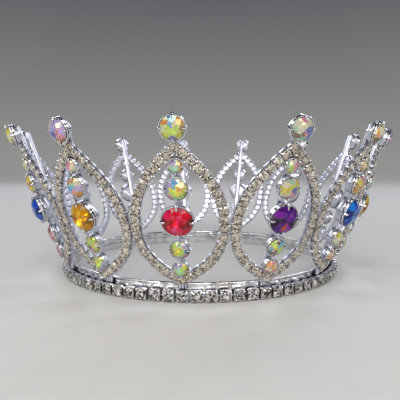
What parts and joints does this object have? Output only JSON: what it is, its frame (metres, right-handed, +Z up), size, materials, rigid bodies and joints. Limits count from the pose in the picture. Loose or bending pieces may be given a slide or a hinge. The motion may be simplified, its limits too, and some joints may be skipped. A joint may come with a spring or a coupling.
{
  "type": "pageant crown",
  "caption": "Round pageant crown: a plated band with a chain of small stones round its foot and a ring of pointed, leaning frames set with coloured and rainbow-coated stones.",
  "frame": {"origin": "centre of the band's lower edge, on the crown's own upright axis, at the height of the surface it rests on", "axes": "+Z up along the crown's axis, -Y towards the front frame, +X to the right of someone who faces the front"},
  "size_m": [0.2014, 0.1999, 0.0747],
  "materials": {
    "silver_plate": "bright silver plating on brass, polished, slightly tarnished in the corners",
    "clear_crystal": "clear cut glass with a foiled back",
    "rainbow_coated_crystal": "cut glass with an iridescent coating",
    "rose_crystal": "rose-red cut glass with a foiled back",
    "violet_crystal": "violet cut glass with a foiled back",
    "sapphire_crystal": "sapphire-blue cut glass with a foiled back",
    "amber_crystal": "amber-yellow cut glass with a foiled back"
  },
  "bodies": {
    "root": {"band": "silver_plate", "foot_chain_cups": "silver_plate", "foot_chain_stones": "clear_crystal", "frame_01": "silver_plate", "frame_02": "silver_plate", "frame_03": "silver_plate", "frame_04": "silver_plate", "frame_05": "silver_plate", "frame_06": "silver_plate", "frame_07": "silver_plate", "frame_08": "silver_plate", "frame_09": "silver_plate", "frame_10": "silver_plate", "frame_11": "silver_plate", "frame_12": "silver_plate", "frame_13": "silver_plate", "centre_stone_01": "rose_crystal", "centre_stone_02": "violet_crystal", "centre_stone_03": "sapphire_crystal", "centre_stone_04": "amber_crystal", "centre_stone_05": "rose_crystal", "centre_stone_06": "violet_crystal", "centre_stone_07": "sapphire_crystal", "centre_stone_08": "amber_crystal", "centre_stone_09": "rose_crystal", "centre_stone_10": "violet_crystal", "centre_stone_11": "rose_crystal", "centre_stone_12": "sapphire_crystal", "centre_stone_13": "amber_crystal", "tip_stone_01": "rainbow_coated_crystal", "tip_stone_02": "rainbow_coated_crystal", "tip_stone_03": "rainbow_coated_crystal", "tip_stone_04": "rainbow_coated_crystal", "tip_stone_05": "rainbow_coated_crystal", "tip_stone_06": "rainbow_coated_crystal", "tip_stone_07": "rainbow_coated_crystal", "tip_stone_08": "rainbow_coated_crystal", "tip_stone_09": "rainbow_coated_crystal", "tip_stone_10": "rainbow_coated_crystal", "tip_stone_11": "rainbow_coated_crystal", "tip_stone_12": "rainbow_coated_crystal", "tip_stone_13": "rainbow_coated_crystal", "lowest_stones": "rainbow_coated_crystal", "lower_stones": "rainbow_coated_crystal", "upper_stones": "rainbow_coated_crystal", "top_stones": "rainbow_coated_crystal"}
  },
  "joints": []
}
